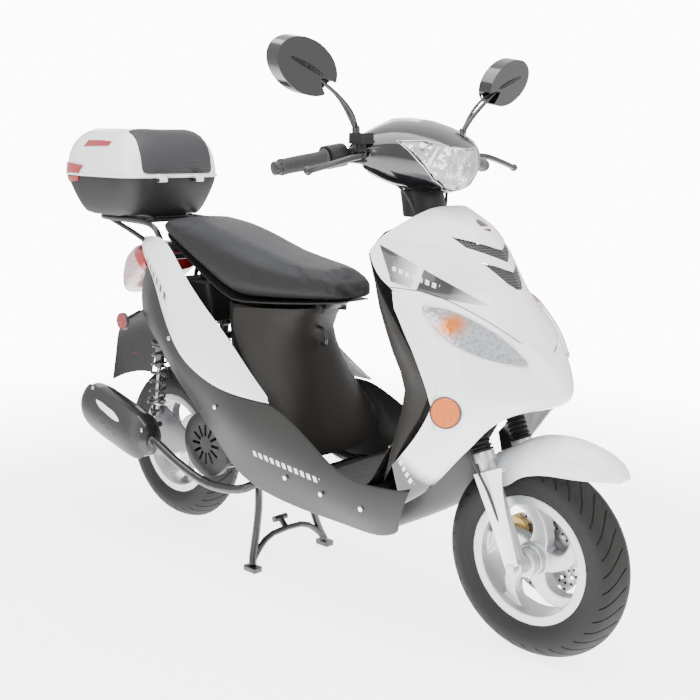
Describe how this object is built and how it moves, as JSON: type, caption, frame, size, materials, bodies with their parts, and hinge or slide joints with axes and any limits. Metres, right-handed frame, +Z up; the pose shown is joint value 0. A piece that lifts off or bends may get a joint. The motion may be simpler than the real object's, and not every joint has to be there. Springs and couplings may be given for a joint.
{
  "type": "moped scooter",
  "caption": "Step-through moped scooter with a leg shield, swinging power unit, centre stand, long seat, mirrors and a rear top case; wheels, steering, suspension, levers, seat and lid move.",
  "frame": {"origin": "on the ground, under the middle of the overall box", "axes": "+X forwards, +Y to the rider's left, +Z up"},
  "size_m": [1.742, 0.837, 1.2718],
  "materials": {
    "amber_lens": "gloss",
    "black_paint": "satin",
    "black_plastic": "textured",
    "chrome": "polished",
    "clear_lens": "clear",
    "gloss_black": "gloss",
    "grey_plastic": "textured",
    "red_lens": "gloss",
    "rubber": "matte",
    "silver_cast": "satin",
    "steel": "satin",
    "tyre": "matte",
    "vinyl": "grained",
    "white_plastic": "gloss"
  },
  "bodies": {
    "frame": {"main_frame": "black_paint", "leg_shield": "white_plastic", "front_cover": "white_plastic", "inner_shield": "grey_plastic", "floorboard": "black_plastic", "floor_mat": "rubber", "side_skirts": "black_plastic", "seat_tower": "grey_plastic", "rear_panels": "white_plastic", "storage_bucket": "black_plastic", "fuel_tank": "black_plastic", "rear_carrier": "black_paint", "top_case_base": "black_plastic", "tail_lamp": "red_lens", "rear_mudguard": "black_plastic", "reflectors": "amber_lens", "front_indicators": "clear_lens", "body_screws": "chrome"},
    "key": {"ignition_key": "steel"},
    "steering": {"steering_column": "steel", "fork_boots": "rubber", "handlebar": "black_paint", "headlamp_cowl": "gloss_black", "headlamp": "clear_lens", "stem_cover": "black_plastic", "instrument_panel": "black_plastic", "switchgear": "black_plastic", "mirror_stems": "black_paint", "control_cables": "rubber"},
    "throttle": {"throttle_grip": "rubber"},
    "lever_right": {"brake_lever_right": "black_paint"},
    "lever_left": {"brake_lever_left": "black_paint"},
    "starter": {"starter_button": "amber_lens"},
    "horn": {"horn_button": "red_lens"},
    "indicator_slider": {"indicator_switch": "grey_plastic"},
    "mirror_head_right": {"mirror_right": "gloss_black"},
    "mirror_head_left": {"mirror_left": "gloss_black"},
    "fork": {"fork_sliders": "silver_cast", "front_fender": "white_plastic", "brake_caliper": "steel", "fork_hoses": "rubber"},
    "front_wheel": {"front_rim": "silver_cast", "front_tyre": "tyre", "front_disc": "steel"},
    "power_unit": {"engine_case": "silver_cast", "exhaust": "black_paint", "muffler_guard": "black_paint", "fan_shroud": "black_plastic"},
    "fan": {"cooling_fan": "black_plastic"},
    "kickstart": {"kick_lever": "black_paint"},
    "rear_wheel": {"rear_rim": "silver_cast", "rear_tyre": "tyre"},
    "shock_bodies": {"shock_upper": "black_paint", "shock_springs": "black_paint"},
    "shock_rods": {"shock_lower": "steel"},
    "stand": {"centre_stand": "black_paint"},
    "seat": {"seat_base": "black_plastic", "seat_cushion": "vinyl"},
    "case_lid": {"top_case_lid": "white_plastic"},
    "case_lock": {"top_case_lock": "red_lens"}
  },
  "joints": [
    {"name": "steering", "type": "hinge", "parent": "frame", "child": "steering", "pos_m": [0.43349, 0, 0.63865], "axis": [-0.4067, 0, 0.9135], "range_deg": [-36, 36]},
    {"name": "ignition", "type": "hinge", "parent": "frame", "child": "key", "pos_m": [0.3265, -0.096, 0.77], "axis": [-1, 0, 0], "range_deg": [0, 90]},
    {"name": "throttle", "type": "hinge", "parent": "steering", "child": "throttle", "pos_m": [0.2345, -0.284, 1.027], "axis": [0.1998, 0.9656, 0.1665], "range_deg": [0, 70], "stiffness_Nm_per_rad": 0.35, "springref_deg": -22.92},
    {"name": "right_brake", "type": "hinge", "parent": "steering", "child": "lever_right", "pos_m": [0.3045, -0.188, 1.042], "axis": [0, 0, -1], "range_deg": [0, 14], "stiffness_Nm_per_rad": 4, "springref_deg": -8.59},
    {"name": "left_brake", "type": "hinge", "parent": "steering", "child": "lever_left", "pos_m": [0.3045, 0.188, 1.042], "axis": [0, 0, 1], "range_deg": [0, 14], "stiffness_Nm_per_rad": 4, "springref_deg": -8.59},
    {"name": "starter_press", "type": "slide", "parent": "steering", "child": "starter", "axis": [1, 0, 0], "range_m": [0, 0.002], "stiffness_N_per_m": 300, "springref_m": -0.002},
    {"name": "horn_press", "type": "slide", "parent": "steering", "child": "horn", "axis": [1, 0, 0], "range_m": [0, 0.002], "stiffness_N_per_m": 300, "springref_m": -0.002},
    {"name": "indicator_slide", "type": "slide", "parent": "steering", "child": "indicator_slider", "axis": [0, 1, 0], "range_m": [-0.003, 0.003], "stiffness_N_per_m": 300},
    {"name": "right_mirror", "type": "hinge", "parent": "steering", "child": "mirror_head_right", "pos_m": [0.2865, -0.304, 1.193], "axis": [0, 0, 1], "range_deg": [-15, 15]},
    {"name": "left_mirror", "type": "hinge", "parent": "steering", "child": "mirror_head_left", "pos_m": [0.2865, 0.304, 1.193], "axis": [0, 0, 1], "range_deg": [-15, 15]},
    {"name": "fork_slide", "type": "slide", "parent": "steering", "child": "fork", "axis": [-0.4067, 0, 0.9135], "range_m": [0, 0.045], "stiffness_N_per_m": 9000, "springref_m": -0.045, "deforming": ["fork_boots", "fork_hoses"]},
    {"name": "front_spin", "type": "hinge", "parent": "fork", "child": "front_wheel", "pos_m": [0.6545, 0, 0.216], "axis": [0, 1, 0], "continuous": true},
    {"name": "rear_swing", "type": "hinge", "parent": "frame", "child": "power_unit", "pos_m": [-0.1605, 0, 0.262], "axis": [0, 1, 0], "range_deg": [0, 7.5], "stiffness_Nm_per_rad": 2600, "springref_deg": -6.88},
    {"name": "fan_spin", "type": "hinge", "parent": "power_unit", "child": "fan", "pos_m": [-0.2555, -0.118, 0.3], "axis": [0, 1, 0], "continuous": true},
    {"name": "kickstart", "type": "hinge", "parent": "power_unit", "child": "kickstart", "pos_m": [-0.2655, 0.142, 0.268], "axis": [0, -1, 0], "range_deg": [0, 50], "stiffness_Nm_per_rad": 4, "springref_deg": -34.38},
    {"name": "rear_spin", "type": "hinge", "parent": "power_unit", "child": "rear_wheel", "pos_m": [-0.5255, 0, 0.226], "axis": [0, 1, 0], "continuous": true},
    {"name": "shock_tilt", "type": "hinge", "parent": "frame", "child": "shock_bodies", "pos_m": [-0.4805, 0, 0.56], "axis": [0, 1, 0], "range_deg": [-2.3, 0]},
    {"name": "shock_slide", "type": "slide", "parent": "shock_bodies", "child": "shock_rods", "axis": [0.1322, 0, 0.9912], "range_m": [0, 0.0475], "deforming": ["shock_springs"]},
    {"name": "centre_stand", "type": "hinge", "parent": "power_unit", "child": "stand", "pos_m": [-0.1215, 0, 0.208], "axis": [0, 1, 0], "range_deg": [0, 70], "stiffness_Nm_per_rad": 6, "springref_deg": -28.65},
    {"name": "seat_hinge", "type": "hinge", "parent": "frame", "child": "seat", "pos_m": [0.0485, 0, 0.682], "axis": [0, 1, 0], "range_deg": [0, 70]},
    {"name": "case_hinge", "type": "hinge", "parent": "frame", "child": "case_lid", "pos_m": [-0.5285, 0, 0.958], "axis": [0, 1, 0], "range_deg": [0, 80]},
    {"name": "case_lock_press", "type": "slide", "parent": "frame", "child": "case_lock", "axis": [1, 0, 0], "range_m": [0, 0.003], "stiffness_N_per_m": 300, "springref_m": -0.002}
  ],
  "couplings": [
    {"joint": "shock_tilt", "follows": "rear_swing", "ratio": -0.272},
    {"joint": "shock_slide", "follows": "rear_swing", "m_per_rad": 0.353}
  ]
}
